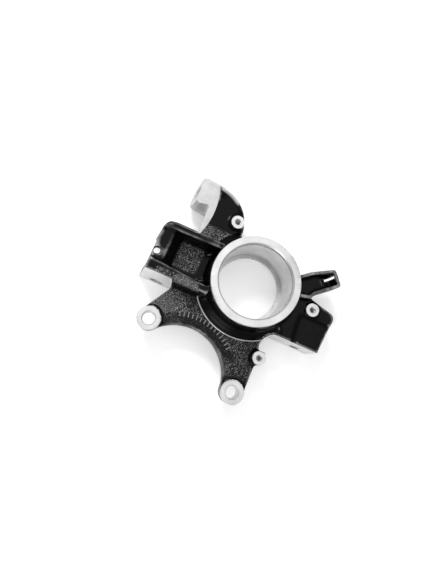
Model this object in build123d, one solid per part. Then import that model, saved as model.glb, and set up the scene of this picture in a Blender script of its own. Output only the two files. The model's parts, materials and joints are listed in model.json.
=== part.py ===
"""Steering knuckle: one iron casting, machined where other parts fit.

The origin is the centre of the wheel bearing's seat. +Z is the bore's axis and points
outboard, -X points to the strut tab, +X to the ball-joint block, -Y to the caliper wing.
All sizes are millimetres.
"""
from build123d import *
from math import atan2, cos, degrees, hypot, radians, sin, tan
import os

# ---- shared by every cut and join ----
over_cut = 1.0
lap = 1.0
floor_size = 400.0
floor_thickness = 20.0

# ---- hub: the bearing's seat and the barrel round it ----
bearing_diameter = 72.0
bearing_width = 39.0
rim_z = 24.0
hub_rear_z = -24.0
rim_diameter = 87.4
turned_length = 3.5
mouth_chamfer = 1.2
groove_width = 1.9
groove_depth = 1.6
groove_land = 0.3
lip_diameter = 65.4
rear_clearance_diameter = 84.0
cast_step = 0.8
barrel_root_diameter = 95.2
barrel_rear_diameter = 91.0
collar_diameter = 110.0
collar_height = 7.0
edge_break = 0.4

# ---- plate level, shared by the wing, the arm and the block ----
plate_z = -3.0
plate_thickness = 12.0
plate_edge_radius = 2.0
rest_z = -36.0

# ---- caliper wing: two ears on each side of its own axis ----
caliper_angle = -108.5
caliper_distance = 90.9
ear_spacing = 106.0
ear_diameter = 23.0
ear_proud = 2.5
ear_thickness = 17.0
ear_hole_diameter = 12.6
wing_arc_distance = 114.3
wing_tab_slope = 11.6
wing_block_slope = 18.3
wing_root_distance = 40.0
wing_bridge = (14.0, 52.0)

# ---- bosses for the dust shield's screws ----
boss_diameter = 13.8
boss_height = 5.0
boss_hole_diameter = 5.4
boss_hole_depth = 13.0
boss_foot = 2.9
boss_centres = [(-36.5, 54.6), (66.7, 1.9), (33.6, -63.5)]

# ---- strut tab ----
tab_end_x = -100.5
tab_lean_deg = 8.0
tab_low_y = -30.0
tab_high_y = 22.0
tab_top_z = 21.0
tab_root_x = -38.0
tab_corner_radius = 7.0
tab_top_radius = 2.5
tab_skin = 2.2
tab_skin_x = -72.0
tab_skin_draft = 6.0
tab_skin_radius = 1.5
tab_wall_high = 8.0
tab_wall_high_root = 6.0
tab_wall_end = 11.5
tab_wall_root = 6.5
tab_floor_z = -2.0
tab_web = 9.0
tab_ledge_z = 17.5
tab_ledge_thickness = 9.0
tab_ledge_x = -88.5
tab_ledge_run = 8.0
tab_inner_radius = 4.0
tab_floor_radius = 2.5
tab_pocket_draft = 4.0
tab_rear_x = -66.0
tab_rear_wall = 10.0
tab_rear_radius = 4.0
tab_past_x = -120.0
window_diameter = 7.2
window_centre = (-97.5, -9.5)

# ---- strut bolts, both along Y ----
strut_bolt_diameter = 14.2
strut_bolt_xs = [-89.0, -54.5]
strut_bolt_z = -25.5

# ---- steering arm and the tie rod's boss ----
arm_centre = (-67.0, 46.5)
arm_radius = 40.2
arm_edge_x = -70.0
arm_low_y = 5.0
arm_z = -2.2
arm_thickness = 13.0
arm_edge_radius = 6.5
arm_rib = 10.0
arm_rib_z = -27.0
rod_y = 72.5
rod_end_x = -87.0
rod_end_z = -14.5
rod_diameter = 37.0
rod_tilt_deg = 13.0
rod_boss_length = 25.0
rod_boss_radius = 4.5
rod_hole_large = 15.0
rod_hole_small = 12.4
rod_hole_run_out = 10.0
milled_z = -2.6
milled_x = -62.5
milled_y = 56.0
milled_radius = 84.0

# ---- ball-joint block ----
block_low_y = -35.5
block_end_x = 87.4
block_corner = (92.4, 6.2)
block_corner_radius = 6.0
block_root_x = 28.0
block_root_y = 22.0
machining_allowance = 2.0
block_z = -1.5
recess_x = 57.5
recess_y = -6.0
recess_depth = 1.5
stud_diameter = 17.5
stud_y = -15.0
stud_z = -17.5
stud_depth = 34.0
stud_slit = 3.0
pinch_diameter = 10.5
pinch_x = 70.0
pinch_z = -27.0
pinch_length = 90.0
cutter_diameter = 29.0
cutter_x = 44.4
cutter_low_y = -56.5
cutter_end_x = 105.0

# ---- stop arm: a channel open to the outboard side ----
stop_z = 8.0
stop_height = 22.0
stop_hub_low = (20.0, 0.0)
stop_root_low = (59.5, 10.3)
stop_neck_low = (62.2, 15.8)
stop_tip_low = (85.0, 34.8)
stop_tip_high = (73.2, 49.3)
stop_neck_high = (51.3, 36.7)
stop_root_high = (41.6, 28.8)
stop_hub_high = (20.0, 12.0)
stop_corner_radius = 3.0
stop_wall = 3.6
stop_floor_z = 1.5
stop_pocket_z = -7.0
stop_pocket_length = 16.0
stop_pocket_width = 40.0
stop_slot_width = 2.4
stop_slot_length = 10.5
stop_slot_side = -2.6
stop_slot_rise = 12.0


def polar(radius, angle_deg):
    """Point at a radius and an angle from +X."""
    return (radius * cos(radians(angle_deg)), radius * sin(radians(angle_deg)))


def outline(*points):
    """Flat face bounded by straight lines between the points."""
    return make_face(Polyline(*points, close=True))


def slab(face, top_z, thickness):
    """Plate hanging below top_z."""
    return extrude(Plane.XY.offset(top_z - thickness) * face, thickness)


def along_y(face, low_y, high_y):
    """Bar along Y from a face drawn in X and Z."""
    return extrude(Plane.XZ.offset(-high_y) * face, high_y - low_y)


def drill_z(diameter, top_z, depth, centre):
    """Round hole going down from top_z."""
    hole = Cylinder(diameter / 2, depth, align=(Align.CENTER, Align.CENTER, Align.MAX))
    return Pos(centre[0], centre[1], top_z) * hole


def barrel():
    """Hub's outside: turned rim, cast barrel widening to the plate, rear barrel."""
    rim = rim_diameter / 2
    turned_z = rim_z - turned_length
    root = barrel_root_diameter / 2
    rear = barrel_rear_diameter / 2
    profile = outline(
        (0, rim_z),
        (rim - edge_break, rim_z),
        (rim, rim_z - edge_break),
        (rim, turned_z),
        (rim + cast_step, turned_z - cast_step),
        (root, plate_z),
        (root, plate_z - plate_thickness),
        (rear, hub_rear_z + edge_break),
        (rear - edge_break, hub_rear_z),
        (0, hub_rear_z),
    )
    return revolve(Plane.XZ * profile, Axis.Z)


def collar(footprint):
    """Hollow fillet between the barrel and the plate, only where there is plate."""
    root = barrel_root_diameter / 2 - lap
    edge = collar_diameter / 2
    high = plate_z + collar_height
    line = Polyline((root, high), (root, plate_z - lap), (edge, plate_z - lap), (edge, plate_z))
    round_line = RadiusArc(line @ 1, line @ 0, -hypot(edge - root, collar_height))
    ring = revolve(Plane.XZ * make_face([line, round_line]), Axis.Z)
    return ring & slab(footprint, high, collar_height + plate_thickness)


def bore():
    """Mouth, ring groove, bearing seat, the lip's hole and the clear space behind it."""
    seat = bearing_diameter / 2
    lip = lip_diameter / 2
    seat_high = bearing_width / 2
    groove_low = seat_high + groove_land
    groove_high = groove_low + groove_width
    profile = outline(
        (0, rim_z),
        (seat + mouth_chamfer, rim_z),
        (seat, rim_z - mouth_chamfer),
        (seat, groove_high),
        (seat + groove_depth, groove_high),
        (seat + groove_depth, groove_low),
        (seat, groove_low),
        (seat, -seat_high),
        (lip, -seat_high),
        (lip, hub_rear_z + edge_break),
        (lip + edge_break, hub_rear_z),
        (rear_clearance_diameter / 2, hub_rear_z),
        (rear_clearance_diameter / 2, rest_z - over_cut),
        (0, rest_z - over_cut),
    )
    return revolve(Plane.XZ * profile, Axis.Z)


def wing_face():
    """Wing's outline, with +X along the caliper's axis until the last line."""
    half = ear_spacing / 2
    ear = ear_diameter / 2
    ears = [(caliper_distance, -half), (caliper_distance, half)]
    tab_tangent = (caliper_distance - ear * sin(radians(wing_tab_slope)),
                   -half - ear * cos(radians(wing_tab_slope)))
    block_tangent = (caliper_distance - ear * sin(radians(wing_block_slope)),
                     half + ear * cos(radians(wing_block_slope)))
    tab_run = tab_tangent[0] - wing_root_distance
    block_run = block_tangent[0] - wing_root_distance
    body = outline(
        (0, 0),
        (wing_root_distance, tab_tangent[1] + tab_run * tan(radians(wing_tab_slope))),
        tab_tangent,
        ears[0],
        (wing_arc_distance, 0),
        ears[1],
        block_tangent,
        (wing_root_distance, block_tangent[1] - block_run * tan(radians(wing_block_slope))),
        wing_bridge,
    )
    arc_radius = hypot(wing_arc_distance - caliper_distance, half) - ear
    body -= Pos(wing_arc_distance, 0) * Circle(arc_radius)
    for centre in ears:
        body += Pos(*centre) * Circle(ear)
    return Rot(0, 0, caliper_angle) * body


def boss(centre, footprint):
    """Boss for a shield screw, standing on the plate with a hollow foot."""
    radius = boss_diameter / 2
    inner = radius - lap
    outer = radius + boss_foot
    bottom_up = (Align.CENTER, Align.CENTER, Align.MIN)
    stem = Cylinder(radius, boss_height + plate_thickness, align=bottom_up)
    stem = Pos(centre[0], centre[1], plate_z - plate_thickness) * stem
    high = plate_z + boss_foot
    low = plate_z - lap
    line = Polyline((inner, high), (inner, low), (outer, low), (outer, plate_z))
    round_line = RadiusArc(line @ 1, line @ 0, -hypot(outer - inner, boss_foot))
    foot = revolve(Plane.XZ * make_face([line, round_line]), Axis.Z)
    foot = Pos(centre[0], centre[1]) * foot
    return stem + (foot & slab(footprint, high, plate_thickness))


def arm_face(radius):
    """Steering arm's plate: a disc cut off along the milled edge."""
    disc = Pos(*arm_centre) * Circle(radius)
    width = arm_centre[0] + radius - arm_edge_x
    height = arm_centre[1] + radius - arm_low_y
    return disc & Pos(arm_edge_x, arm_low_y) * Rectangle(width, height, align=Align.MIN)


def arm():
    """Steering arm: plate with a round upper edge and a rib under it."""
    plate = slab(arm_face(arm_radius), arm_z, arm_thickness)
    curves = plate.edges().filter_by(GeomType.CIRCLE).filter_by(lambda e: e.center().X > arm_edge_x)
    plate = fillet(curves.sort_by(Axis.Z)[-1], arm_edge_radius)
    rib_face = arm_face(arm_radius) - Pos(*arm_centre) * Circle(arm_radius - arm_rib)
    rib_top = arm_z - arm_edge_radius
    return plate + slab(rib_face, rib_top, rib_top - arm_rib_z)


def rod_plane():
    """Tie-rod boss's end face, its Z along the boss into the arm."""
    inward = (cos(radians(rod_tilt_deg)), 0, -sin(radians(rod_tilt_deg)))
    return Plane(origin=(rod_end_x, rod_y, rod_end_z), x_dir=(0, 1, 0), z_dir=inward)


def rod_boss():
    """Round boss for the tie rod's taper."""
    body = Cylinder(rod_diameter / 2, rod_boss_length, align=(Align.CENTER, Align.CENTER, Align.MIN))
    body = fillet(body.edges().group_by(Axis.Z)[0], rod_boss_radius)
    return rod_plane() * body


def rod_hole():
    """Taper for the tie rod, then a clear run under the arm's plate."""
    half = rod_boss_length / 2
    taper = Pos(0, 0, half) * Cone(rod_hole_large / 2, rod_hole_small / 2, rod_boss_length)
    run = Pos(0, 0, rod_boss_length) * Cylinder(
        rod_hole_small / 2, rod_hole_run_out, align=(Align.CENTER, Align.CENTER, Align.MIN))
    return rod_plane() * (taper + run)


def milled_cut():
    """Sweep of the facing cutter over the arm's strut side."""
    disc = Pos(milled_x - milled_radius, milled_y) * Circle(milled_radius)
    window = Pos(milled_x - milled_radius, tab_high_y) * Rectangle(
        milled_radius, milled_radius, align=Align.MIN)
    return extrude(Plane.XY.offset(milled_z) * (disc & window), tab_top_z - milled_z)


def tab_body():
    """Strut tab's block, its end leaning outward below."""
    lean = (tab_top_z - rest_z) * tan(radians(tab_lean_deg))
    side = outline(
        (tab_root_x, tab_top_z),
        (tab_end_x, tab_top_z),
        (tab_end_x - lean, rest_z),
        (tab_root_x, rest_z),
    )
    body = along_y(side, tab_low_y, tab_high_y)
    end = body.faces().sort_by(Axis.X)[0]
    corner = end.edges().sort_by(Axis.Y)[-1]
    body = fillet(corner, tab_corner_radius)
    top = body.faces().sort_by(Axis.Z)[-1]
    top_edges = top.edges().filter_by(lambda e: e.center().X < tab_root_x)
    top_edges = top_edges.filter_by(lambda e: e.center().Y > tab_low_y + lap)
    return fillet(top_edges, tab_top_radius)


def tab_skin_wedge():
    """Cast skin of the tab's wing side, left proud where the cutter stops."""
    drop = tab_top_z - plate_z + plate_thickness
    side = outline(
        (tab_low_y + tab_skin, tab_top_z),
        (tab_low_y, tab_top_z),
        (tab_low_y - drop * tan(radians(tab_skin_draft)), tab_top_z - drop),
        (tab_low_y + tab_skin, tab_top_z - drop),
    )
    wedge = extrude(Plane.YZ.offset(tab_skin_x) * side, tab_root_x - tab_skin_x)
    corner = wedge.edges().filter_by(lambda e: abs(e.center().X - tab_skin_x) < 0.1).sort_by(Axis.Y)[0]
    return fillet(corner, tab_skin_radius)


def tab_front_pocket():
    """Pocket open to the outboard side, its floor rising to the end ledge."""
    side = outline(
        (tab_root_x, tab_top_z + over_cut),
        (tab_root_x, tab_floor_z),
        (tab_ledge_x + tab_ledge_run, tab_floor_z),
        (tab_ledge_x, tab_ledge_z),
        (tab_past_x, tab_ledge_z),
        (tab_past_x, tab_top_z + over_cut),
    )
    across = outline(
        (tab_past_x, tab_low_y + tab_wall_end),
        (tab_end_x, tab_low_y + tab_wall_end),
        (tab_root_x, tab_low_y + tab_wall_root),
        (tab_root_x, tab_high_y - tab_wall_high_root),
        (tab_past_x, tab_high_y - tab_wall_high),
    )
    depth = tab_top_z - tab_floor_z + over_cut
    down = Plane(origin=(0, 0, tab_top_z + over_cut), x_dir=(1, 0, 0), z_dir=(0, 0, -1))
    mirrored = mirror(across, about=Plane.XZ)
    prism = extrude(down * mirrored, depth, taper=tab_pocket_draft)
    pocket = prism & along_y(side, tab_low_y, tab_high_y)
    pocket = fillet(pocket.edges().filter_by(upright), tab_inner_radius)
    low = pocket.edges().filter_by(lambda e: abs(e.center().Z - tab_floor_z) < 0.1)
    return fillet(low, tab_floor_radius)


def upright(edge):
    """True for an edge that runs mostly along Z."""
    return abs(edge.tangent_at(0.5).Z) > 0.9


def tab_rear_pocket():
    """Pocket open to the inboard side and to the end, under the sloping web."""
    rise = tab_ledge_z - tab_floor_z
    shift = tab_web * hypot(rise, tab_ledge_run) / rise
    high = tab_ledge_z - tab_ledge_thickness
    low = tab_floor_z - tab_web
    slope_x = tab_ledge_x + tab_ledge_run - shift
    slope = tab_ledge_run / rise
    side = outline(
        (tab_past_x, high),
        (slope_x - (high - tab_floor_z) * slope, high),
        (slope_x - (low - tab_floor_z) * slope, low),
        (tab_rear_x, low),
        (tab_rear_x, rest_z - over_cut),
        (tab_past_x, rest_z - over_cut),
    )
    pocket = along_y(side, tab_low_y + tab_rear_wall, tab_high_y - tab_rear_wall)
    inner = pocket.edges().filter_by(Axis.Z).group_by(Axis.X)[-1]
    return fillet(inner, tab_rear_radius)


def block():
    """Ball-joint block with one round corner, before its holes."""
    face = outline(
        (block_root_x, block_low_y - machining_allowance),
        (block_end_x, block_low_y - machining_allowance),
        block_corner,
        (block_root_x, block_root_y),
    )
    corner = face.vertices().sort_by(Axis.X)[-1]
    return slab(fillet(corner, block_corner_radius), block_z, block_z - rest_z)


def block_cuts():
    """Recess, stud bore, its slit and the pinch bolt's hole."""
    recess = Pos(recess_x, recess_y, block_z) * Box(
        cutter_end_x - recess_x, recess_y - block_low_y + machining_allowance, recess_depth * 2,
        align=(Align.MIN, Align.MAX, Align.CENTER))
    stud_plane = Plane(origin=(block_end_x - stud_depth, stud_y, stud_z), z_dir=(1, 0, 0))
    length = cutter_end_x - block_end_x + stud_depth
    bottom_up = (Align.CENTER, Align.CENTER, Align.MIN)
    stud = stud_plane * Cylinder(stud_diameter / 2, length, align=bottom_up)
    slit = Pos(block_end_x - stud_depth, stud_y, stud_z) * Box(
        length, stud_slit, stud_z - rest_z + over_cut, align=(Align.MIN, Align.CENTER, Align.MAX))
    pinch = Cylinder(pinch_diameter / 2, pinch_length, rotation=(90, 0, 0))
    pinch = Pos(pinch_x, 0, pinch_z) * pinch
    return recess + stud + slit + pinch


def cutter_cut():
    """Slot milled along the block's wing side, round where the cutter stops."""
    radius = cutter_diameter / 2
    centre_y = block_low_y - radius
    run = cutter_end_x - cutter_x
    path = Pos(cutter_x, centre_y) * Circle(radius)
    straight = Rectangle(run, cutter_diameter, align=(Align.MIN, Align.CENTER))
    path += Pos(cutter_x, centre_y) * straight
    travel = block_low_y - cutter_low_y
    clear_of_boss = Rectangle(run + radius, travel, align=Align.MIN)
    path &= Pos(cutter_x - radius, cutter_low_y) * clear_of_boss
    high = rim_z - turned_length
    return slab(path, high, high - rest_z + over_cut)


def stop_face():
    """Stop arm's outline at its top, tip corners rounded."""
    face = outline(
        stop_hub_low,
        stop_root_low,
        stop_neck_low,
        stop_tip_low,
        stop_tip_high,
        stop_neck_high,
        stop_root_high,
        stop_hub_high,
    )
    tips = face.vertices().sort_by(Axis.X)[-2:]
    return fillet(tips, stop_corner_radius)


def stop_arm():
    """Stop arm: channel with a raised floor, then a deeper pocket with a slot."""
    body = slab(stop_face(), stop_z, stop_height)
    inner = offset(stop_face(), -stop_wall, kind=Kind.INTERSECTION)
    body -= slab(inner, stop_z, stop_z - stop_floor_z)
    run = (stop_tip_low[0] - stop_neck_low[0], stop_tip_low[1] - stop_neck_low[1])
    tip = ((stop_tip_low[0] + stop_tip_high[0]) / 2, (stop_tip_low[1] + stop_tip_high[1]) / 2)
    at_tip = Plane(origin=(*tip, stop_pocket_z), x_dir=(-run[0], -run[1], 0), z_dir=(0, 0, 1))
    across = Rectangle(stop_pocket_length, stop_pocket_width, align=(Align.MIN, Align.CENTER))
    deep = extrude(at_tip * across, stop_z - stop_pocket_z)
    body -= deep & slab(inner, stop_z, stop_z - stop_pocket_z)
    slot_low = (Align.MIN, Align.CENTER, Align.MAX)
    slot = Box(stop_slot_length, stop_slot_width, stop_slot_rise + stop_height, align=slot_low)
    return body - at_tip * Pos(-over_cut, stop_slot_side, stop_slot_rise) * slot


def wing():
    """Wing's plate with rounded upper edges, and its two thicker ears."""
    plate = slab(wing_face(), plate_z, plate_thickness)
    upper = plate.edges().filter_by(lambda e: abs(e.center().Z - plate_z) < 0.1)
    plate = fillet(upper, plate_edge_radius)
    for centre in ear_centres():
        disc = slab(Circle(ear_diameter / 2), plate_z + ear_proud, ear_thickness)
        disc = chamfer(disc.edges().group_by(Axis.Z)[-1], edge_break)
        plate += Pos(*centre) * disc
    return plate


def ear_centres():
    """Centres of the ears' holes."""
    across = ear_spacing / 2
    turned = []
    for side in (-across, across):
        reach = hypot(caliper_distance, side)
        turned.append(polar(reach, caliper_angle + degrees(atan2(side, caliper_distance))))
    return turned


def build_knuckle():
    """Whole casting with every machined face and hole."""
    plate = wing_face() + arm_face(arm_radius)
    flat = wing_face() + arm_face(arm_radius - arm_edge_radius)
    tab = tab_body() + tab_skin_wedge() - tab_front_pocket()
    body = barrel() + collar(plate) + wing() + tab + arm() + rod_boss()
    body = body + block() + stop_arm()
    for centre in boss_centres:
        body += boss(centre, flat)
    body -= [bore(), tab_rear_pocket(), milled_cut(), cutter_cut(), block_cuts(), rod_hole()]
    floor = Box(floor_size, floor_size, floor_thickness, align=(Align.CENTER, Align.CENTER, Align.MAX))
    body -= Pos(0, 0, rest_z) * floor
    for centre in ear_centres():
        body -= drill_z(ear_hole_diameter, tab_top_z, tab_top_z - rest_z, centre)
    for centre in boss_centres:
        body -= drill_z(boss_hole_diameter, plate_z + boss_height, boss_hole_depth, centre)
    body -= drill_z(window_diameter, tab_top_z, tab_top_z - plate_z + plate_thickness, window_centre)
    for x in strut_bolt_xs:
        bolt = Cylinder(strut_bolt_diameter / 2, tab_high_y - tab_low_y + 2 * over_cut)
        body -= Pos(x, (tab_low_y + tab_high_y) / 2, strut_bolt_z) * Rot(90, 0, 0) * bolt
    return body


os.makedirs("parts", exist_ok=True)
steering_knuckle = build_knuckle()
export_step(steering_knuckle, "parts/steering_knuckle.step")
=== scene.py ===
import bmesh
import bpy
import json
import math
import numpy as np
from mathutils import Matrix, Vector, noise
from mathutils.bvhtree import BVHTree


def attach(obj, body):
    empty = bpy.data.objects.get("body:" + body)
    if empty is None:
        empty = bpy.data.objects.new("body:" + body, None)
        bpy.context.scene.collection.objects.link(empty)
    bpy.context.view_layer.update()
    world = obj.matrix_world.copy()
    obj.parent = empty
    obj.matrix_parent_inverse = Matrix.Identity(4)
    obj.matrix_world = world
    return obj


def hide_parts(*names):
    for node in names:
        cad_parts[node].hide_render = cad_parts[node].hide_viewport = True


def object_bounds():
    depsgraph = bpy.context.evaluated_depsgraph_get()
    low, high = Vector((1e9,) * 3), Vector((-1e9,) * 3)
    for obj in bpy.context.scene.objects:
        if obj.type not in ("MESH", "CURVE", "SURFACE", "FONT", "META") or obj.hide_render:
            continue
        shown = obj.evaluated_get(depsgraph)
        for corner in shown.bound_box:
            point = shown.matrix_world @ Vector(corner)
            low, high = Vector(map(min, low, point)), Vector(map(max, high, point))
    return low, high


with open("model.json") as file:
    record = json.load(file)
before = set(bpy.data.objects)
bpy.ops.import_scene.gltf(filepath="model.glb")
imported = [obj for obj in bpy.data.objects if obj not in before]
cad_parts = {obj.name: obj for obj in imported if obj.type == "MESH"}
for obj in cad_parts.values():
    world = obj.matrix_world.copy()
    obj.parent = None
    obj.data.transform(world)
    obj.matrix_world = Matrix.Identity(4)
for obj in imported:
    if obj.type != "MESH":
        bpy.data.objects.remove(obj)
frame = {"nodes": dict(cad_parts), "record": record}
cad_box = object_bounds()
scene = bpy.context.scene
MM = 0.001

# --- Paint -------------------------------------------------------------------
# The whole casting is dipped in thin black paint, glossy where the mould was
# smooth and grainy where the sand was coarse. The coarse grains carry painted
# glints, and rounded edges carry painted highlights and a painted sheen.


def shader_group(name, inputs, outputs):
    """Empty node group with named sockets, its input node and its output node."""
    group = bpy.data.node_groups.new(name, "ShaderNodeTree")
    for label, kind, value in inputs:
        socket = group.interface.new_socket(label, in_out="INPUT", socket_type=kind)
        if value is not None:
            socket.default_value = value
    for label, kind in outputs:
        group.interface.new_socket(label, in_out="OUTPUT", socket_type=kind)
    start = group.nodes.new("NodeGroupInput")
    end = group.nodes.new("NodeGroupOutput")
    return group, start, end


def add_node(tree, kind, settings=None, **values):
    """Node with its settings and its named input values."""
    node = tree.nodes.new(kind)
    for label, value in (settings or {}).items():
        setattr(node, label, value)
    for label, value in values.items():
        node.inputs[label.replace("_", " ")].default_value = value
    return node


def maths(tree, operation, first, second):
    """Math node on two sockets or numbers; gives its output."""
    node = tree.nodes.new("ShaderNodeMath")
    node.operation = operation
    for i, value in enumerate((first, second)):
        if isinstance(value, (int, float)):
            node.inputs[i].default_value = value
        else:
            tree.links.new(value, node.inputs[i])
    return node.outputs[0]


def remap(tree, value, low, high, out_low=0.0, out_high=1.0):
    """Value rescaled from one range to another, held at its ends."""
    node = tree.nodes.new("ShaderNodeMapRange")
    tree.links.new(value, node.inputs["Value"])
    node.inputs["From Min"].default_value = low
    node.inputs["From Max"].default_value = high
    node.inputs["To Min"].default_value = out_low
    node.inputs["To Max"].default_value = out_high
    return node.outputs["Result"]


def speckle_group():
    """Grains of sand left in a surface: their height, and a painted glint on each one."""
    group, start, end = shader_group(
        "sand_grains",
        [("Vector", "NodeSocketVector", None), ("Size", "NodeSocketFloat", 0.0011)],
        [("Height", "NodeSocketFloat"), ("Bright", "NodeSocketFloat")],
    )
    scale = maths(group, "DIVIDE", 1.0, start.outputs["Size"])
    fine = add_node(group, "ShaderNodeTexNoise", Detail=3.0, Roughness=0.6)
    group.links.new(start.outputs["Vector"], fine.inputs["Vector"])
    group.links.new(scale, fine.inputs["Scale"])
    grain = add_node(group, "ShaderNodeTexVoronoi", Randomness=1.0)
    group.links.new(start.outputs["Vector"], grain.inputs["Vector"])
    group.links.new(scale, grain.inputs["Scale"])
    peak = remap(group, grain.outputs["Distance"], 0.1, 0.75, 1.0, 0.0)
    height = maths(group, "MULTIPLY", peak, remap(group, fine.outputs["Fac"], 0.42, 0.55))
    group.links.new(height, end.inputs["Height"])
    # Painted glint: the taller grains are coloured lighter, as if they caught the light.
    group.links.new(remap(group, height, 0.2, 0.6), end.inputs["Bright"])
    return group


grains = speckle_group()


def soft_box(tree, apart, low, high, blur, amount):
    """Amount inside a box given in mm, fading to nothing over the blur outside it."""
    inside = amount
    for axis, lowest, highest in zip("XYZ", low, high):
        value = apart.outputs[axis]
        rise = remap(tree, value, (lowest - blur) * MM, lowest * MM)
        fall = remap(tree, value, (highest + blur) * MM, highest * MM)
        inside = maths(tree, "MULTIPLY", maths(tree, "MULTIPLY", rise, fall), inside)
    return inside


def off_circle(tree, position, centre, radius, blur=0.8):
    """Nought inside an upright cylinder given in mm, one outside it."""
    offset = tree.nodes.new("ShaderNodeVectorMath")
    offset.operation = "SUBTRACT"
    offset.inputs[1].default_value = (centre[0] * MM, centre[1] * MM, 0)
    tree.links.new(position, offset.inputs[0])
    flat = tree.nodes.new("ShaderNodeVectorMath")
    flat.operation = "MULTIPLY"
    flat.inputs[1].default_value = (1, 1, 0)
    tree.links.new(offset.outputs[0], flat.inputs[0])
    length = tree.nodes.new("ShaderNodeVectorMath")
    length.operation = "LENGTH"
    tree.links.new(flat.outputs[0], length.inputs[0])
    return remap(tree, length.outputs["Value"], radius * MM, (radius + blur) * MM)


# Where the sand was coarse and how lit its grains look: low corner and high corner, blur, all in
# mm, then how coarse, which also sets how bright the painted glints and the painted lift of the
# grey are there.
ROUGH_AND_LIT_PLACES = [
    ((-110, -120, -20), (-52, -43, 0), 10, 1.3),
    ((-48, -120, -20), (12, -43, 0), 10, 0.4),
    ((12, -120, -20), (60, -50, 0), 8, 0.3),
    ((-78, -11, -6), (-57, 11, 4), 3, 0.9),
    ((-96, -58, -20), (-64, -42, 0), 9, 4.0),
    ((-71, -39, 14), (-44, -24.5, 25), 1, 5.0),
    ((-90, -31, 14), (-71, -24.5, 25), 1, 0.8),
    ((-66, 20, -8), (-38, 37, 2), 5, 1.5),
]
WING_ARC_CENTRE = (-36.3, -108.4)
# Upright cylinders that stay smooth: the hub's collar, the ears, two bosses, the wing's arc.
SMOOTH_ROUNDS = [((0, 0), 54.6), ((-79.1, -69.4), 14.5), ((21.4, -103.0), 14.5)]
SMOOTH_ROUNDS += [((33.6, -63.5), 10), ((-36.5, 54.6), 10.5), (WING_ARC_CENTRE, 48.6)]
WING_EDGE_RADIUS = 58.2
# Painted highlights: a ring round the collar's foot inside the ridge box, and a painted sheen on
# the arm's outer rounded edge inside the sheen box, counted out from the arm's centre.
COLLAR_FOOT = (54.3, 55.1)
ARM_CENTRE = (-67, 46.5)
SHEEN_PLACE = ((-64, 75, -5.5), (-44, 92, 0), 3, 1.0)
RIDGE_HIGHLIGHT_PLACE = ((-62, -70, -6), (30, -33, 1), 4, 1.3)


def lit_edges(tree, position, patches):
    """Painted highlights on rounded edges: sharply bent corners, the collar's foot, the arm's
    outside.
    """
    apart = tree.nodes.new("ShaderNodeSeparateXYZ")
    tree.links.new(position, apart.inputs[0])
    ridge = soft_box(tree, apart, *RIDGE_HIGHLIGHT_PLACE)
    ridge = maths(tree, "MULTIPLY", ridge, off_circle(tree, position, (0, 0), COLLAR_FOOT[0], 0.4))
    beyond = off_circle(tree, position, (0, 0), COLLAR_FOOT[1], 0.4)
    ridge = maths(tree, "MULTIPLY", ridge, maths(tree, "SUBTRACT", 1.0, beyond))
    sheen = soft_box(tree, apart, *SHEEN_PLACE)
    sheen = maths(tree, "MULTIPLY", sheen, off_circle(tree, position, ARM_CENTRE, 33.6, 3.2))
    # Painted highlight along every sharply bent edge of the painted skin.
    lightening = tree.nodes.new("ShaderNodeAttribute")
    lightening.attribute_name = "painted_edge_highlight"
    edges = maths(tree, "MULTIPLY", lightening.outputs["Fac"], remap(tree, patches, 0.35, 0.6, 0.15, 0.7))
    ridge = maths(tree, "MULTIPLY", ridge, remap(tree, patches, 0.3, 0.55, 0.3, 1.0))
    return maths(tree, "MAXIMUM", maths(tree, "MAXIMUM", ridge, edges), sheen)


def rough_and_lit_zone(tree, position):
    """How coarse the sand was, which also sets how bright its painted glints are; the wing's arc
    edge stays smooth over part of its length.
    """
    apart = tree.nodes.new("ShaderNodeSeparateXYZ")
    tree.links.new(position, apart.inputs[0])
    zone = soft_box(tree, apart, *ROUGH_AND_LIT_PLACES[0])
    for place in ROUGH_AND_LIT_PLACES[1:]:
        zone = maths(tree, "MAXIMUM", zone, soft_box(tree, apart, *place))
    for centre, radius in SMOOTH_ROUNDS:
        zone = maths(tree, "MULTIPLY", zone, off_circle(tree, position, centre, radius))
    past_edge = off_circle(tree, position, WING_ARC_CENTRE, WING_EDGE_RADIUS)
    band = maths(tree, "SUBTRACT", 1.0, past_edge)
    band = maths(tree, "MULTIPLY", band, remap(tree, apart.outputs["Y"], -0.078, -0.074, 0.0, 0.85))
    return maths(tree, "MULTIPLY", zone, maths(tree, "SUBTRACT", 1.0, band))


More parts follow.
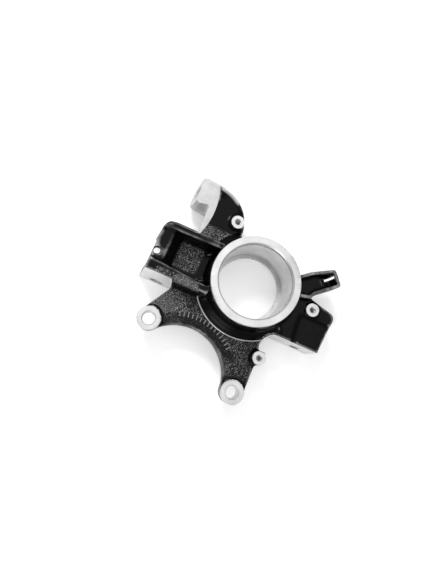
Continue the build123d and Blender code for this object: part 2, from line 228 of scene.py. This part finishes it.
def paint_material(name, lightening=None):
    """Black paint over cast iron, with painted glints on its coarse grains and painted highlights
    on its edges; the optional second value is one coarseness and least brightness for all of it,
    standing in for rubbed paint and a painted highlight.
    """
    material = bpy.data.materials.new(name)
    material.use_nodes = True
    tree = material.node_tree
    shader = tree.nodes["Principled BSDF"]
    place = tree.nodes.new("ShaderNodeTexCoord")
    position = place.outputs["Object"]
    zone = lightening or rough_and_lit_zone(tree, position)
    sand = tree.nodes.new("ShaderNodeGroup")
    sand.node_tree = grains
    tree.links.new(position, sand.inputs["Vector"])
    patches = add_node(tree, "ShaderNodeTexNoise", Scale=70.0, Detail=3.0)
    tree.links.new(position, patches.inputs["Vector"])
    # Painted light: glints on the grains, scaled by the coarse places and by random patches, then
    # the painted edge highlights.
    painted_light = maths(tree, "MULTIPLY", sand.outputs["Bright"], zone)
    uneven = remap(tree, patches.outputs["Fac"], 0.3, 0.55, 0.3, 1.0)
    painted_light = maths(tree, "MULTIPLY", painted_light, uneven)
    painted_light = maths(tree, "MAXIMUM", painted_light, lit_edges(tree, position, patches.outputs["Fac"]))
    # Least lightness: a painted lift of the grey where the sand is coarse; for the bars, their even
    # lighter grey.
    dull = lightening or maths(tree, "MULTIPLY", zone, 0.032)
    painted_light = maths(tree, "MAXIMUM", painted_light, dull)
    colour = add_node(tree, "ShaderNodeMix", {"data_type": "RGBA"})
    dark, light = [s for s in colour.inputs if s.type == "RGBA"]
    dark.default_value = (0.0015, 0.0015, 0.0018, 1)
    light.default_value = (0.56, 0.56, 0.58, 1)
    tree.links.new(painted_light, colour.inputs["Factor"])
    tree.links.new([s for s in colour.outputs if s.type == "RGBA"][0], shader.inputs["Base Color"])
    gloss = remap(tree, patches.outputs["Fac"], 0.3, 0.7, 0.18, 0.32)
    tree.links.new(gloss, shader.inputs["Roughness"])
    shine = remap(tree, painted_light, 0.0, 0.5, 0.11, 0.8)
    tree.links.new(shine, shader.inputs["Specular IOR Level"])
    bump = add_node(tree, "ShaderNodeBump", Strength=1.0, Distance=0.0005)
    smooth_part = maths(tree, "MULTIPLY", patches.outputs["Fac"], 0.3)
    coarse_part = maths(tree, "MULTIPLY", sand.outputs["Height"], zone)
    tree.links.new(maths(tree, "ADD", smooth_part, coarse_part), bump.inputs["Height"])
    tree.links.new(bump.outputs["Normal"], shader.inputs["Normal"])
    return material


paint = paint_material("black_paint")

# --- Bare iron ---------------------------------------------------------------
# Turned and milled faces are left bright. The tool leaves fine rings round the
# bore and fine straight lines on the milled faces.


def tool_mark_group():
    """Fine lines left by a tool, from a distance that they repeat along."""
    group, start, end = shader_group(
        "tool_marks",
        [("Distance", "NodeSocketFloat", 0.0), ("Pitch", "NodeSocketFloat", 0.0004)],
        [("Height", "NodeSocketFloat"), ("Shade", "NodeSocketFloat")],
    )
    along_marks = group.nodes.new("ShaderNodeCombineXYZ")
    turns = maths(group, "DIVIDE", start.outputs["Distance"], start.outputs["Pitch"])
    group.links.new(turns, along_marks.inputs["X"])
    lines = add_node(group, "ShaderNodeTexNoise", Scale=1.0, Detail=2.0, Roughness=0.7)
    group.links.new(along_marks.outputs[0], lines.inputs["Vector"])
    group.links.new(lines.outputs["Fac"], end.inputs["Height"])
    group.links.new(remap(group, lines.outputs["Fac"], 0.3, 0.7), end.inputs["Shade"])
    return group


tool_marks = tool_mark_group()


def bare_material():
    """Machined iron, slightly blotched by oil."""
    material = bpy.data.materials.new("machined_iron")
    material.use_nodes = True
    tree = material.node_tree
    shader = tree.nodes["Principled BSDF"]
    place = tree.nodes.new("ShaderNodeTexCoord")
    position = place.outputs["Object"]
    apart = tree.nodes.new("ShaderNodeSeparateXYZ")
    tree.links.new(position, apart.inputs[0])
    flat = tree.nodes.new("ShaderNodeCombineXYZ")
    tree.links.new(apart.outputs["X"], flat.inputs["X"])
    tree.links.new(apart.outputs["Y"], flat.inputs["Y"])
    length = tree.nodes.new("ShaderNodeVectorMath")
    length.operation = "LENGTH"
    tree.links.new(flat.outputs[0], length.inputs[0])
    near_hub = remap(tree, length.outputs["Value"], 0.0462, 0.0468, 1.0, 0.0)
    rings = maths(tree, "ADD", length.outputs["Value"], apart.outputs["Z"])
    lines = maths(tree, "ADD", apart.outputs["X"], maths(tree, "MULTIPLY", apart.outputs["Z"], 0.8))
    distance = maths(tree, "MULTIPLY", rings, near_hub)
    off_hub = maths(tree, "MULTIPLY", lines, maths(tree, "SUBTRACT", 1.0, near_hub))
    marks = tree.nodes.new("ShaderNodeGroup")
    marks.node_tree = tool_marks
    tree.links.new(maths(tree, "ADD", distance, off_hub), marks.inputs["Distance"])
    stains = add_node(tree, "ShaderNodeTexNoise", Scale=55.0, Detail=4.0)
    tree.links.new(position, stains.inputs["Vector"])
    value = maths(
        tree,
        "ADD",
        remap(tree, stains.outputs["Fac"], 0.3, 0.7, 0.6, 0.74),
        remap(tree, marks.outputs["Shade"], 0.0, 1.0, -0.05, 0.05),
    )
    colour = tree.nodes.new("ShaderNodeCombineColor")
    for channel in ("Red", "Green", "Blue"):
        tree.links.new(value, colour.inputs[channel])
    tree.links.new(colour.outputs[0], shader.inputs["Base Color"])
    shader.inputs["Metallic"].default_value = 0.75
    gloss = remap(tree, marks.outputs["Shade"], 0.0, 1.0, 0.3, 0.46)
    tree.links.new(gloss, shader.inputs["Roughness"])
    bump = add_node(tree, "ShaderNodeBump", Strength=0.35, Distance=0.00012)
    tree.links.new(marks.outputs["Height"], bump.inputs["Height"])
    tree.links.new(bump.outputs["Normal"], shader.inputs["Normal"])
    return material


bare = bare_material()


def blasted_material():
    """Bare skin of the casting, even and dull grey, where no paint was let on."""
    material = bpy.data.materials.new("blasted_iron")
    material.use_nodes = True
    tree = material.node_tree
    shader = tree.nodes["Principled BSDF"]
    place = tree.nodes.new("ShaderNodeTexCoord")
    mottle = add_node(tree, "ShaderNodeTexNoise", Scale=120.0, Detail=4.0)
    tree.links.new(place.outputs["Object"], mottle.inputs["Vector"])
    value = remap(tree, mottle.outputs["Fac"], 0.3, 0.7, 0.56, 0.68)
    colour = tree.nodes.new("ShaderNodeCombineColor")
    for channel in ("Red", "Green", "Blue"):
        tree.links.new(value, colour.inputs[channel])
    tree.links.new(colour.outputs[0], shader.inputs["Base Color"])
    shader.inputs["Metallic"].default_value = 0.25
    shader.inputs["Roughness"].default_value = 0.5
    bump = add_node(tree, "ShaderNodeBump", Strength=0.4, Distance=0.0002)
    tree.links.new(mottle.outputs["Fac"], bump.inputs["Height"])
    tree.links.new(bump.outputs["Normal"], shader.inputs["Normal"])
    return material


blasted = blasted_material()

# --- Machined shapes ---------------------------------------------------------
# The foundry leaves the iron rough; the bearing's seat, the ears, the bosses and
# the faces that clamp other parts are then turned, milled and drilled to size.
# Each cut is a closed solid that is taken away from the rough casting.

RIM_RADIUS = 43.7
TURNED_FROM = 20.5
RIM_HEIGHT = 24.0
TABLE = -36.0

mounts = {mount["name"]: mount for mount in frame["record"]["mounts"]}


def centre_of(name):
    """Middle of a mount in mm."""
    return Vector(mounts[name]["pos_m"]) / MM


def radius_of(name):
    """Radius of a mount's hole in mm."""
    return mounts[name]["dims"]["r_mm"]


def solid_object(name, builder):
    """Object made from a new bmesh that the builder fills; its faces cut bare iron."""
    bm = bmesh.new()
    builder(bm)
    bmesh.ops.remove_doubles(bm, verts=bm.verts, dist=1e-7)
    bmesh.ops.recalc_face_normals(bm, faces=bm.faces)
    mesh = bpy.data.meshes.new(name)
    bm.to_mesh(mesh)
    bm.free()
    mesh.materials.append(bare)
    mesh.materials.append(paint)
    made = bpy.data.objects.new(name, mesh)
    scene.collection.objects.link(made)
    return made


def lathe(profile, place, steps=96):
    """Closed solid turned from (radius, height) points in mm, first and last on the axis."""

    def build(bm):
        rings = []
        for radius, height in profile:
            if radius < 1e-6:
                rings.append([bm.verts.new(place @ Vector((0, 0, height * MM)))])
                continue
            ring = []
            for step in range(steps):
                turn = 2 * math.pi * step / steps
                point = Vector((radius * math.cos(turn), radius * math.sin(turn), height)) * MM
                ring.append(bm.verts.new(place @ point))
            rings.append(ring)
        for low, high in zip(rings, rings[1:]):
            for step in range(steps):
                after = (step + 1) % steps
                corners = [low[step % len(low)], low[after % len(low)]]
                corners += [high[after % len(high)], high[step % len(high)]]
                unique = list(dict.fromkeys(corners))
                if len(unique) > 2:
                    bm.faces.new(unique)

    return build


def prism(outline, low, high):
    """Closed upright solid between two heights in mm, from an outline in mm."""

    def build(bm):
        bottom = [bm.verts.new(Vector((x, y, low)) * MM) for x, y in outline]
        top = [bm.verts.new(Vector((x, y, high)) * MM) for x, y in outline]
        bm.faces.new(bottom[::-1])
        bm.faces.new(top)
        for i in range(len(outline)):
            j = (i + 1) % len(outline)
            bm.faces.new([bottom[i], bottom[j], top[j], top[i]])

    return build


def arc_points(centre, radius, start, sweep, steps=24):
    """Points in mm along an arc, angles in degrees."""
    points = []
    for step in range(steps + 1):
        turn = math.radians(start + sweep * step / steps)
        points.append((centre[0] + radius * math.cos(turn), centre[1] + radius * math.sin(turn)))
    return points


def along(origin, direction):
    """Placement with its Z along a direction, its origin given in mm."""
    turn = Vector(direction).normalized().to_track_quat("Z", "Y").to_matrix().to_4x4()
    return Matrix.Translation(Vector(origin) * MM) @ turn


def hub_cutters():
    """Bearing's bore with its mouth, ring groove and lip, and the turned rim."""
    seat = radius_of("bearing_bore")
    groove = seat + 1.6
    lip = 32.7
    bore = [(0, 30), (seat + 7, 30), (seat + 1.2, RIM_HEIGHT), (seat, RIM_HEIGHT - 1.2)]
    bore += [(seat, 21.7), (groove, 21.7), (groove, 19.8), (seat, 19.8), (seat, -19.5)]
    bore += [(lip, -19.5), (lip, -23.6), (lip + 0.4, -24), (42, -24.01), (42, -40), (0, -40)]
    edge = 0.4
    skirt = RIM_RADIUS + 0.9
    rim = [(0, RIM_HEIGHT), (RIM_RADIUS - edge, RIM_HEIGHT), (RIM_RADIUS, RIM_HEIGHT - edge)]
    rim += [(RIM_RADIUS, TURNED_FROM), (skirt, TURNED_FROM), (skirt, 32), (0, 32)]
    turned = solid_object("cut_rim", lathe(rim, Matrix(), 160))
    for face in turned.data.polygons:
        if face.center.z < TURNED_FROM * MM + 1e-5:
            face.material_index = 1
    return [solid_object("cut_bore", lathe(bore, Matrix(), 160)), turned]


def hole_cutters():
    """Ear discs and screw bosses, faced and drilled."""
    made = []
    for name in ("caliper_bolt_tab_side", "caliper_bolt_block_side"):
        x, y, _ = centre_of(name)
        hole = radius_of(name)
        face = [(0, 8), (14, 8), (14, -0.9), (11.5, -0.9), (11.1, -0.5), (hole + 0.6, -0.5)]
        face += [(hole, -1.1), (hole, -16.9), (hole + 0.6, -17.5), (13.5, -17.5)]
        face += [(13.5, -24), (0, -24)]
        made.append(solid_object("cut_ear", lathe(face, along((x, y, 0), (0, 0, 1)), 72)))
    for name in ("shield_screw_arm", "shield_screw_block", "shield_screw_wing"):
        x, y, _ = centre_of(name)
        hole = radius_of(name)
        face = [(0, 8), (9, 8), (9, 2), (hole + 0.6, 2), (hole, 1.4), (hole, -9.6), (0, -11)]
        made.append(solid_object("cut_boss", lathe(face, along((x, y, 0), (0, 0, 1)), 48)))
    return made


def tab_cutters():
    """Both milled sides of the strut tab and the two bolt holes through it."""
    low_y = centre_of("strut_face_wing_side").y
    high_y = centre_of("strut_face_arm_side").y
    stop = -72.0
    runout = 3.0
    depth = 3.6
    corner = (stop - runout, low_y - runout)
    upper = [(-120, low_y), *arc_points(corner, runout, 90, -90, 8)]
    upper += [(stop, low_y - depth), (-120, low_y - depth)]
    under = [(-120, low_y), (-38, low_y), (-38, low_y - 15), (-120, low_y - 15)]
    outer = [(-120, high_y), (-70.1, high_y), (-70.1, high_y + 5), (-120, high_y + 5)]
    made = [
        solid_object("cut_tab_low", prism(upper, -15.5, 30)),
        solid_object("cut_tab_low_under", prism(under, TABLE - 4, -15.4)),
        solid_object("cut_tab_high", prism(outer, TABLE - 4, 30)),
    ]
    for name in ("strut_bolt_outer", "strut_bolt_inner"):
        radius = radius_of(name)
        hole = [(0, -40), (radius, -40), (radius, 40), (0, 40)]
        made.append(solid_object("cut_bolt", lathe(hole, along(centre_of(name), (0, -1, 0)), 56)))
    return made


def block_cutters():
    """Milled slot beside the block, the ball stud's bore and slit, the pinch bolt's hole."""
    face_y = -35.5
    mill_radius = 14.5
    slot_end = -56.5
    centre = (44.4, face_y - mill_radius)
    sweep = 90 + math.degrees(math.asin((centre[1] - slot_end) / mill_radius))
    mill = arc_points(centre, mill_radius, 90, sweep) + [(105, slot_end), (105, face_y)]
    bore_x = 53.4
    bore_y, bore_z = centre_of("ball_stud_bore").yz
    radius = radius_of("ball_stud_bore")
    stud = [(0, 0), (radius, 0), (radius, 60), (0, 60)]
    slit_low, slit_high = bore_y - 1.5, bore_y + 1.5
    slit = [(bore_x, slit_low), (110, slit_low), (110, slit_high), (bore_x, slit_high)]
    pinch_radius = radius_of("pinch_bolt")
    pinch = [(0, -40), (pinch_radius, -40), (pinch_radius, 40), (0, 40)]
    return [
        solid_object("cut_block_face", prism(mill, TABLE - 4, 20.4)),
        solid_object("cut_stud", lathe(stud, along((bore_x, bore_y, bore_z), (1, 0, 0)), 56)),
        solid_object("cut_slit", prism(slit, TABLE - 4, bore_z)),
        solid_object("cut_pinch", lathe(pinch, along(centre_of("pinch_bolt"), (0, -1, 0)), 40)),
    ]


FLAT_CENTRE = (-146.5, 56.0)
FLAT_RADIUS = 84.0
FLAT_FROM_Y = 22.1


def arm_cutters():
    """Milled flat of the steering arm and the tie rod's taper."""
    taper = [(0, -12), (24, -12), (24, 0), (8.3, 0), (7.5, 0.8), (6.2, 25), (6.2, 35), (0, 35)]
    inward = -Vector(mounts["tie_rod_taper"]["axis"])
    arc = [p for p in arc_points(FLAT_CENTRE, FLAT_RADIUS, -24, 55, 40) if p[1] > FLAT_FROM_Y]
    flat = [(-120, FLAT_FROM_Y), (arc[0][0], FLAT_FROM_Y), *arc, (-120, arc[-1][1])]
    return [
        solid_object("cut_taper", lathe(taper, along(centre_of("tie_rod_taper"), inward), 64)),
        solid_object("cut_flat", prism(flat, -2.6, 30)),
    ]


def stop_arm_cutter():
    """Cast slot through the stop arm's pocket, open under its tip."""
    tip = Vector((79.1, 42.05))
    inward = Vector((-0.768, -0.640))
    across = Vector((0.640, -0.768))
    low, high, side, half = -3.0, 9.5, -2.6, 1.2
    corners = [(low, side - half), (high, side - half), (high, side + half), (low, side + half)]
    outline = [tip + inward * reach + across * offset for reach, offset in corners]
    slot = solid_object("cut_stop_slot", prism(outline, TABLE, 5))
    for face in slot.data.polygons:
        face.material_index = 1
    return [slot]


cutters = hub_cutters() + hole_cutters() + tab_cutters()
cutters += block_cutters() + arm_cutters() + stop_arm_cutter()

# --- Casting, poured rough and then machined ---------------------------------
# Ductile iron poured in a sand mould: every edge the sand formed is round and
# the skin is slightly uneven. The cuts above leave crisp bare faces in it.

SKIN_VOXEL = 1.1 * MM
ALLOWANCE = 0.5 * MM
KEEP_NEAR = 1.2 * MM
ROUND_FROM = 3.2 * MM
ROUND_STEPS = 6
ROUGHNESS_HEIGHT = 0.12 * MM
# How sharply the skin bends, in voxels, where the painted edge highlight starts and where it is
# full.
HIGHLIGHT_FROM = 0.03
HIGHLIGHT_FULL = 0.09


def applied(holder):
    """Mesh of an object with its modifiers applied and removed."""
    graph = bpy.context.evaluated_depsgraph_get()
    mesh = bpy.data.meshes.new_from_object(holder.evaluated_get(graph))
    holder.modifiers.clear()
    holder.data = mesh
    return mesh


def rough_casting():
    """Copy of the CAD solid with an even, closed skin of small faces."""
    made = bpy.data.objects.new("casting", frame["nodes"]["steering_knuckle"].data.copy())
    scene.collection.objects.link(made)
    bm = bmesh.new()
    bm.from_mesh(made.data)
    bmesh.ops.remove_doubles(bm, verts=bm.verts, dist=2e-6)
    bm.to_mesh(made.data)
    bm.free()
    remesh = made.modifiers.new("skin", "REMESH")
    remesh.mode = "VOXEL"
    remesh.voxel_size = SKIN_VOXEL
    applied(made)
    return made


def cutting_surface():
    """Search tree over the faces of every cut."""
    points = []
    faces = []
    for cutter in cutters:
        base = len(points)
        points += [v.co.copy() for v in cutter.data.vertices]
        faces += [[base + i for i in p.vertices] for p in cutter.data.polygons]
    return BVHTree.FromPolygons(points, faces)


def leave_allowance(points, normals):
    """Moves the skin just proud of each cut; gives how freely each point may be rounded."""
    tree = cutting_surface()
    freedom = np.ones(len(points))
    for i, point in enumerate(points):
        spot, facing, _, distance = tree.find_nearest(point, ROUND_FROM)
        if spot is None:
            continue
        freedom[i] = max(0.0, min(1.0, (distance - KEEP_NEAR) / (ROUND_FROM - KEEP_NEAR)))
        if distance < KEEP_NEAR and facing.dot(normals[i]) < -0.5:
            points[i] = spot - facing * ALLOWANCE
    return freedom


def pull_to_neighbours(mesh, values):
    """For each point, the mean of its neighbours' values less its own."""
    ends = np.empty(len(mesh.edges) * 2, dtype=int)
    mesh.edges.foreach_get("vertices", ends)
    ends = ends.reshape(-1, 2)
    both_ways = np.concatenate([ends, ends[:, ::-1]])
    neighbours = np.bincount(both_ways[:, 0], minlength=len(values))
    sums = np.zeros_like(values)
    for axis in range(3):
        sums[:, axis] = np.bincount(both_ways[:, 0], values[both_ways[:, 1], axis], len(values))
    return sums / neighbours[:, None] - values


def round_edges(mesh, points, freedom, steps):
    """Sand-cast edges: each point moves towards the middle of its neighbours."""
    for _ in range(steps):
        points += 0.5 * freedom[:, None] * pull_to_neighbours(mesh, points)


CORNER = Vector((-100.5, 21.0, 21.0)) * MM
CORNER_REACH = 11.0 * MM
CORNER_STEPS = 40


def round_tab_corner(mesh, points):
    """The strut tab's end corner was rubbed rounder than the rest of the mould."""
    gap = np.linalg.norm(points - np.array(CORNER), axis=1)
    freedom = np.clip(1.0 - gap / CORNER_REACH, 0.0, 0.6)
    round_edges(mesh, points, freedom, CORNER_STEPS)


def soften(mesh):
    """Rounds the sand-cast edges and makes the skin uneven, away from the cuts."""
    points = np.empty(len(mesh.vertices) * 3)
    normals = np.empty(len(mesh.vertices) * 3)
    mesh.vertices.foreach_get("co", points)
    mesh.vertex_normals.foreach_get("vector", normals)
    points = points.reshape(-1, 3)
    normals = normals.reshape(-1, 3)
    freedom = leave_allowance(points, normals)
    round_edges(mesh, points, freedom, ROUND_STEPS)
    round_tab_corner(mesh, points)
    lumps = [noise.noise(p * 160) + 0.6 * noise.noise(p * 420) for p in map(Vector, points)]
    points += normals * (np.array(lumps) * freedom * ROUGHNESS_HEIGHT)[:, None]
    mesh.vertices.foreach_set("co", points.ravel())
    mesh.update()


def machine(holder):
    """Takes every cut away; the faces it leaves keep the cut's material."""
    holder.data.materials.clear()
    holder.data.materials.append(paint)
    for cutter in cutters:
        cut = holder.modifiers.new("cut", "BOOLEAN")
        cut.operation = "DIFFERENCE"
        cut.solver = "MANIFOLD"
        cut.object = cutter
        cut.material_mode = "TRANSFER"
    applied(holder)
    for cutter in cutters:
        bpy.data.objects.remove(cutter)
    holder.vertex_groups.clear()


def bare_rod_boss(mesh):
    """The tie rod's boss was masked when the casting was painted."""
    mesh.materials.append(blasted)
    blasted_slot = len(mesh.materials) - 1
    for face in mesh.polygons:
        x, y, z = face.center / MM
        inside = math.hypot(x - FLAT_CENTRE[0], y - FLAT_CENTRE[1]) < FLAT_RADIUS
        if inside and y > FLAT_FROM_Y + 0.3 and (x < -71 or y > 50):
            face.material_index = blasted_slot


def painted_edge_highlight(mesh):
    """Stores a painted highlight on the painted skin, from how sharply it bends outwards at each
    point.
    """
    points = np.empty(len(mesh.vertices) * 3)
    normals = np.empty(len(mesh.vertices) * 3)
    mesh.vertices.foreach_get("co", points)
    mesh.vertex_normals.foreach_get("vector", normals)
    points = points.reshape(-1, 3)
    normals = normals.reshape(-1, 3)
    bend = -np.einsum("ij,ij->i", pull_to_neighbours(mesh, points), normals) / SKIN_VOXEL
    for _ in range(2):
        bend = bend + pull_to_neighbours(mesh, np.repeat(bend[:, None], 3, axis=1))[:, 0]
    # Painted highlight strength from the bend; bare faces get none.
    highlight = np.clip((bend - HIGHLIGHT_FROM) / (HIGHLIGHT_FULL - HIGHLIGHT_FROM), 0.0, 1.0)
    for face in mesh.polygons:
        if face.material_index:
            highlight[list(face.vertices)] = 0.0
    layer = mesh.attributes.new("painted_edge_highlight", "FLOAT", "POINT")
    layer.data.foreach_set("value", highlight)


def keep_to_size(mesh):
    """The uneven skin never passes the drawing's overall size."""
    points = np.empty(len(mesh.vertices) * 3)
    mesh.vertices.foreach_get("co", points)
    low, high = (np.array(corner) for corner in cad_box)
    mesh.vertices.foreach_set("co", np.clip(points.reshape(-1, 3), low, high).ravel())
    mesh.update()


casting = rough_casting()
soften(casting.data)
machine(casting)
keep_to_size(casting.data)
bare_rod_boss(casting.data)
painted_edge_highlight(casting.data)
casting.data.polygons.foreach_set("use_smooth", [True] * len(casting.data.polygons))
casting.data.set_sharp_from_angle(angle=math.radians(35))
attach(casting, "root")
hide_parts("steering_knuckle")

# --- Cast index marks --------------------------------------------------------
# A row of short raised bars follows the wing's inner curve, as a foundry's plain
# mould marks do. They are cast with the plate and painted with it, in a lighter
# grey that is partly rubbed paint and partly a painted highlight.


def geometry_piece(name, group, material, inputs=None):
    """Object whose mesh is what a Geometry Nodes group makes, baked into it."""
    holder = bpy.data.objects.new(name, bpy.data.meshes.new(name))
    scene.collection.objects.link(holder)
    nodes = holder.modifiers.new("make", "NODES")
    nodes.node_group = group
    for item in group.interface.items_tree:
        if item.item_type == "SOCKET" and item.in_out == "INPUT" and item.name in (inputs or {}):
            nodes[item.identifier] = inputs[item.name]
    applied(holder)
    holder.data.materials.clear()
    holder.data.materials.append(material)
    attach(holder, "root")
    return holder


def geometry_group(name, inputs):
    """Geometry Nodes group with named inputs and one output."""
    group = bpy.data.node_groups.new(name, "GeometryNodeTree")
    for label, kind, value in inputs:
        socket = group.interface.new_socket(label, in_out="INPUT", socket_type=kind)
        socket.default_value = value
    group.interface.new_socket("Geometry", in_out="OUTPUT", socket_type="NodeSocketGeometry")
    return group, group.nodes.new("NodeGroupInput"), group.nodes.new("NodeGroupOutput")


def finish_instances(group, instances, end, material):
    """Makes the copies real and gives them their material."""
    real = group.nodes.new("GeometryNodeRealizeInstances")
    paint_on = group.nodes.new("GeometryNodeSetMaterial")
    paint_on.inputs["Material"].default_value = material
    group.links.new(instances, real.inputs["Geometry"])
    group.links.new(real.outputs["Geometry"], paint_on.inputs["Geometry"])
    group.links.new(paint_on.outputs["Geometry"], end.inputs["Geometry"])


# Lighter grey all over the bars: partly rubbed paint, partly a painted highlight.
rubbed_and_highlit = paint_material("rubbed_and_highlit_paint", lightening=0.35)


def index_marks():
    """Bars spread along an arc, each pointing at the arc's centre."""
    group, start, end = geometry_group(
        "index_marks",
        [
            ("Arc Radius", "NodeSocketFloat", 0.0535),
            ("Start Angle", "NodeSocketFloat", 0.0),
            ("Sweep Angle", "NodeSocketFloat", 1.0),
            ("Count", "NodeSocketInt", 15),
            ("Centre", "NodeSocketVector", (0, 0, 0)),
        ],
    )
    arc = group.nodes.new("GeometryNodeCurveArc")
    points = group.nodes.new("GeometryNodeCurveToPoints")
    bar = group.nodes.new("GeometryNodeMeshCube")
    bar.inputs["Size"].default_value = (0.001, 0.0048, 0.0016)
    place = group.nodes.new("GeometryNodeInstanceOnPoints")
    move = group.nodes.new("GeometryNodeTransform")
    turn = group.nodes.new("FunctionNodeAlignRotationToVector")
    turn.axis = "X"
    for label in ("Start Angle", "Sweep Angle"):
        group.links.new(start.outputs[label], arc.inputs[label])
    group.links.new(start.outputs["Arc Radius"], arc.inputs["Radius"])
    group.links.new(start.outputs["Count"], points.inputs["Count"])
    group.links.new(arc.outputs["Curve"], points.inputs["Curve"])
    group.links.new(points.outputs["Points"], place.inputs["Points"])
    group.links.new(points.outputs["Tangent"], turn.inputs["Vector"])
    group.links.new(turn.outputs[0], place.inputs["Rotation"])
    group.links.new(bar.outputs["Mesh"], place.inputs["Instance"])
    group.links.new(place.outputs["Instances"], move.inputs["Geometry"])
    group.links.new(start.outputs["Centre"], move.inputs["Translation"])
    finish_instances(group, move.outputs["Geometry"], end, rubbed_and_highlit)
    return group


ARC_FROM_AXIS = 114.3
ARC_RADIUS = 46.43
PLATE_TOP = -3.0
MARK_BAND = 11.0
wing_angle = math.radians(-108.5)
arc_centre = Vector((math.cos(wing_angle), math.sin(wing_angle), 0)) * ARC_FROM_AXIS
arc_centre.z = PLATE_TOP - 0.05
geometry_piece(
    "index_marks",
    index_marks(),
    rubbed_and_highlit,
    {
        "Arc Radius": (ARC_RADIUS + MARK_BAND) * MM,
        "Start Angle": wing_angle + math.pi - math.radians(24),
        "Sweep Angle": math.radians(60),
        "Centre": arc_centre * MM,
    },
)

# --- Threads of the three screw bosses ---------------------------------------
# Each shield screw's hole is tapped. The thread is a stack of fine rings that
# stand a little way into the hole.


def thread_rings():
    """Rings stacked down a hole."""
    group, start, end = geometry_group(
        "thread_rings",
        [
            ("Radius", "NodeSocketFloat", 0.0027),
            ("Pitch", "NodeSocketFloat", 0.001),
            ("Count", "NodeSocketInt", 9),
            ("Place", "NodeSocketVector", (0, 0, 0)),
        ],
    )
    ring = group.nodes.new("GeometryNodeCurvePrimitiveCircle")
    ring.inputs["Resolution"].default_value = 40
    section = group.nodes.new("GeometryNodeCurvePrimitiveCircle")
    section.inputs["Resolution"].default_value = 6
    section.inputs["Radius"].default_value = 0.0003
    sweep = group.nodes.new("GeometryNodeCurveToMesh")
    stack = group.nodes.new("GeometryNodeMeshLine")
    down = group.nodes.new("ShaderNodeCombineXYZ")
    minus = group.nodes.new("ShaderNodeMath")
    minus.operation = "MULTIPLY"
    minus.inputs[1].default_value = -1.0
    place = group.nodes.new("GeometryNodeInstanceOnPoints")
    group.links.new(start.outputs["Radius"], ring.inputs["Radius"])
    group.links.new(ring.outputs["Curve"], sweep.inputs["Curve"])
    group.links.new(section.outputs["Curve"], sweep.inputs["Profile Curve"])
    group.links.new(start.outputs["Pitch"], minus.inputs[0])
    group.links.new(minus.outputs[0], down.inputs["Z"])
    group.links.new(down.outputs[0], stack.inputs["Offset"])
    group.links.new(start.outputs["Count"], stack.inputs["Count"])
    group.links.new(start.outputs["Place"], stack.inputs["Start Location"])
    group.links.new(stack.outputs["Mesh"], place.inputs["Points"])
    group.links.new(sweep.outputs["Mesh"], place.inputs["Instance"])
    finish_instances(group, place.outputs["Instances"], end, bare)
    return group


rings = thread_rings()
THREAD_TOP = 0.6
for name in ("shield_screw_arm", "shield_screw_block", "shield_screw_wing"):
    top = centre_of(name)
    top.z = THREAD_TOP
    inputs = {"Radius": radius_of(name) * MM, "Place": top * MM}
    geometry_piece("thread_" + name.split("_")[-1], rings, bare, inputs)

# --- Table, light and camera -------------------------------------------------
# A plain pale table under soft light from a large screen overhead, a small one
# to the upper left for the shadows, and a weak near one for the near sides.

floor_bm = bmesh.new()
bmesh.ops.create_grid(floor_bm, x_segments=2, y_segments=2, size=3.0)
floor_mesh = bpy.data.meshes.new("floor")
floor_bm.to_mesh(floor_mesh)
floor_bm.free()
floor = bpy.data.objects.new("floor", floor_mesh)
floor.location = (0, 0, TABLE * MM - 0.0001)
scene.collection.objects.link(floor)


def floor_material():
    """White paper that looks its brightest to the camera and in reflections."""
    material = bpy.data.materials.new("white_table")
    material.use_nodes = True
    tree = material.node_tree
    shader = tree.nodes["Principled BSDF"]
    shader.inputs["Base Color"].default_value = (0.93, 0.93, 0.93, 1)
    shader.inputs["Roughness"].default_value = 1.0
    shader.inputs["Specular IOR Level"].default_value = 0.0
    shader.inputs["Emission Color"].default_value = (1, 1, 1, 1)
    seen = tree.nodes.new("ShaderNodeLightPath")
    direct = maths(tree, "MAXIMUM", seen.outputs["Is Camera Ray"], seen.outputs["Is Glossy Ray"])
    glow = maths(tree, "MULTIPLY", direct, 0.36)
    tree.links.new(glow, shader.inputs["Emission Strength"])
    return material


floor_mesh.materials.append(floor_material())

world = bpy.data.worlds.new("studio")
scene.world = world
world.use_nodes = True
world.node_tree.nodes["Background"].inputs["Color"].default_value = (1, 1, 1, 1)
world.node_tree.nodes["Background"].inputs["Strength"].default_value = 0.42


def screen(name, place, size, power):
    """Large square light aimed at the part."""
    data = bpy.data.lights.new(name, "AREA")
    data.size = size
    data.energy = power
    made = bpy.data.objects.new(name, data)
    aim = -Vector(place)
    made.location = place
    made.rotation_euler = aim.to_track_quat("-Z", "Y").to_euler()
    scene.collection.objects.link(made)
    return made


screen("screen_over", (0.1, 0.25, 1.3), 1.1, 4.0)
screen("screen_left", (-0.6, 0.6, 0.95), 0.3, 7.0)
screen("screen_near", (-0.25, -0.9, 0.45), 0.5, 2.6)

camera_data = bpy.data.cameras.new("camera")
camera_data.sensor_fit = "VERTICAL"
camera_data.sensor_height = 36.0
camera_data.lens = 27.11
camera_data.clip_start = 0.01
camera = bpy.data.objects.new("camera", camera_data)
scene.collection.objects.link(camera)
right = Vector((0.9139, 0.3808, 0.1404))
up = Vector((-0.4017, 0.8984, 0.1778))
back = Vector((-0.0584, -0.2189, 0.9740))
camera_turn = Matrix((right, up, back)).transposed().to_4x4()
camera.matrix_world = Matrix.Translation((-0.0585, -0.1077, 0.4111)) @ camera_turn
scene.camera = camera
scene.view_settings.view_transform = "Standard"
